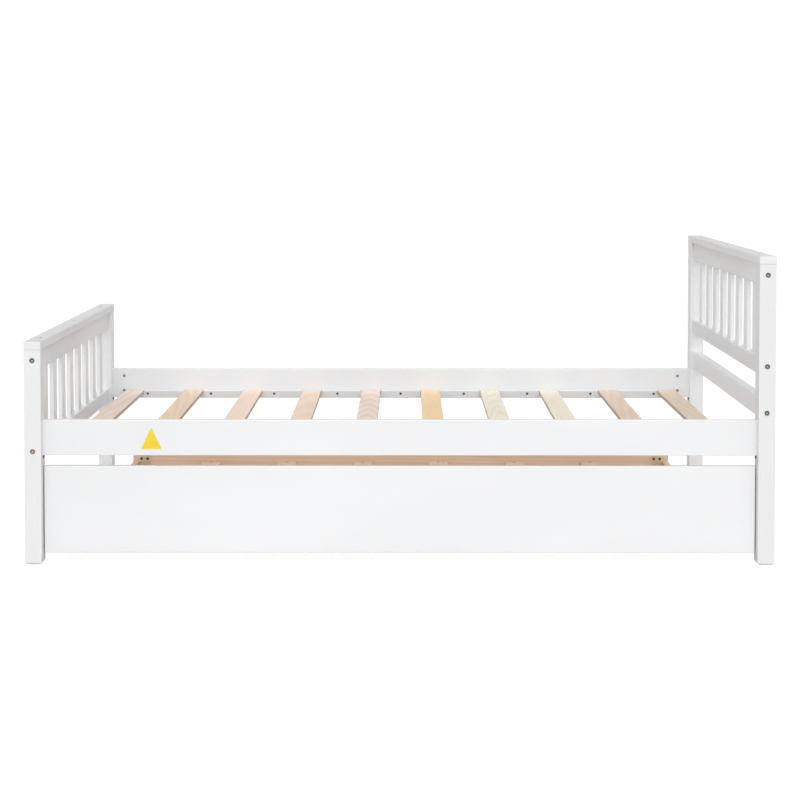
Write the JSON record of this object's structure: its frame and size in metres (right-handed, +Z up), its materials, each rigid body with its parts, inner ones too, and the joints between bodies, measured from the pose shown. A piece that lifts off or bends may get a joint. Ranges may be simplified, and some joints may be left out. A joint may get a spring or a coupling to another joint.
{
  "type": "trundle bed",
  "caption": "Twin slatted platform bed with a tall headboard, a low footboard and a low trundle on castors that rolls out from under its front side rail.",
  "frame": {"origin": "on the floor, under the middle of the bed's box", "axes": "+X towards the headboard, -Y towards the side where the trundle rolls out, +Z up"},
  "size_m": [2.016, 1.066, 0.832],
  "materials": {
    "white_paint": "white paint, satin, faint grain",
    "raw_pine": "bare sanded pine",
    "dark_steel": "dark zinc plating",
    "zinc": "bright zinc plating",
    "castor_plastic": "moulded nylon"
  },
  "bodies": {
    "bed": {"post_foot_front": "white_paint", "post_foot_rear": "white_paint", "post_head_front": "white_paint", "post_head_rear": "white_paint", "cap_foot": "white_paint", "cap_head": "white_paint", "head_top_rail": "white_paint", "head_mid_rail": "white_paint", "head_low_rail": "white_paint", "foot_top_rail": "white_paint", "foot_low_rail": "white_paint", "head_slat_1": "white_paint", "head_slat_2": "white_paint", "head_slat_3": "white_paint", "head_slat_4": "white_paint", "head_slat_5": "white_paint", "head_slat_6": "white_paint", "head_slat_7": "white_paint", "head_slat_8": "white_paint", "foot_slat_1": "white_paint", "foot_slat_2": "white_paint", "foot_slat_3": "white_paint", "foot_slat_4": "white_paint", "foot_slat_5": "white_paint", "foot_slat_6": "white_paint", "foot_slat_7": "white_paint", "foot_slat_8": "white_paint", "side_rail_front": "white_paint", "side_rail_rear": "white_paint", "cleat_front": "white_paint", "cleat_rear": "white_paint", "bed_slat_1": "raw_pine", "bed_slat_2": "raw_pine", "bed_slat_3": "raw_pine", "bed_slat_4": "raw_pine", "bed_slat_5": "raw_pine", "bed_slat_6": "raw_pine", "bed_slat_7": "raw_pine", "bed_slat_8": "raw_pine", "bed_slat_9": "raw_pine", "bed_slat_10": "raw_pine", "frame_bolts": "dark_steel", "side_rail_bolts": "dark_steel", "barrel_nuts": "zinc", "dowels": "raw_pine", "bed_screws": "zinc"},
    "trundle": {"trundle_panel": "white_paint", "trundle_front_rail": "raw_pine", "trundle_rear_rail": "raw_pine", "trundle_end_foot": "raw_pine", "trundle_end_head": "raw_pine", "trundle_cleats": "raw_pine", "trundle_slats": "raw_pine", "castor_brackets": "zinc", "castor_axles": "zinc", "trundle_screws": "zinc"},
    "castor_front_foot": {"wheel_front_foot": "castor_plastic"},
    "castor_front_head": {"wheel_front_head": "castor_plastic"},
    "castor_rear_foot": {"wheel_rear_foot": "castor_plastic"},
    "castor_rear_head": {"wheel_rear_head": "castor_plastic"}
  },
  "joints": [
    {"name": "trundle_roll", "type": "slide", "parent": "bed", "child": "trundle", "axis": [0, -1, 0], "range_m": [0, 1]},
    {"name": "wheel_front_foot_spin", "type": "hinge", "parent": "trundle", "child": "castor_front_foot", "pos_m": [-0.854, -0.39, 0.025], "axis": [1, 0, 0], "continuous": true},
    {"name": "wheel_front_head_spin", "type": "hinge", "parent": "trundle", "child": "castor_front_head", "pos_m": [0.854, -0.39, 0.025], "axis": [1, 0, 0], "continuous": true},
    {"name": "wheel_rear_foot_spin", "type": "hinge", "parent": "trundle", "child": "castor_rear_foot", "pos_m": [-0.847, 0.415, 0.025], "axis": [1, 0, 0], "continuous": true},
    {"name": "wheel_rear_head_spin", "type": "hinge", "parent": "trundle", "child": "castor_rear_head", "pos_m": [0.847, 0.415, 0.025], "axis": [1, 0, 0], "continuous": true}
  ],
  "couplings": [
    {"joint": "wheel_front_foot_spin", "follows": "trundle_roll", "rad_per_m": 40},
    {"joint": "wheel_front_head_spin", "follows": "trundle_roll", "rad_per_m": 40},
    {"joint": "wheel_rear_foot_spin", "follows": "trundle_roll", "rad_per_m": 40},
    {"joint": "wheel_rear_head_spin", "follows": "trundle_roll", "rad_per_m": 40}
  ]
}
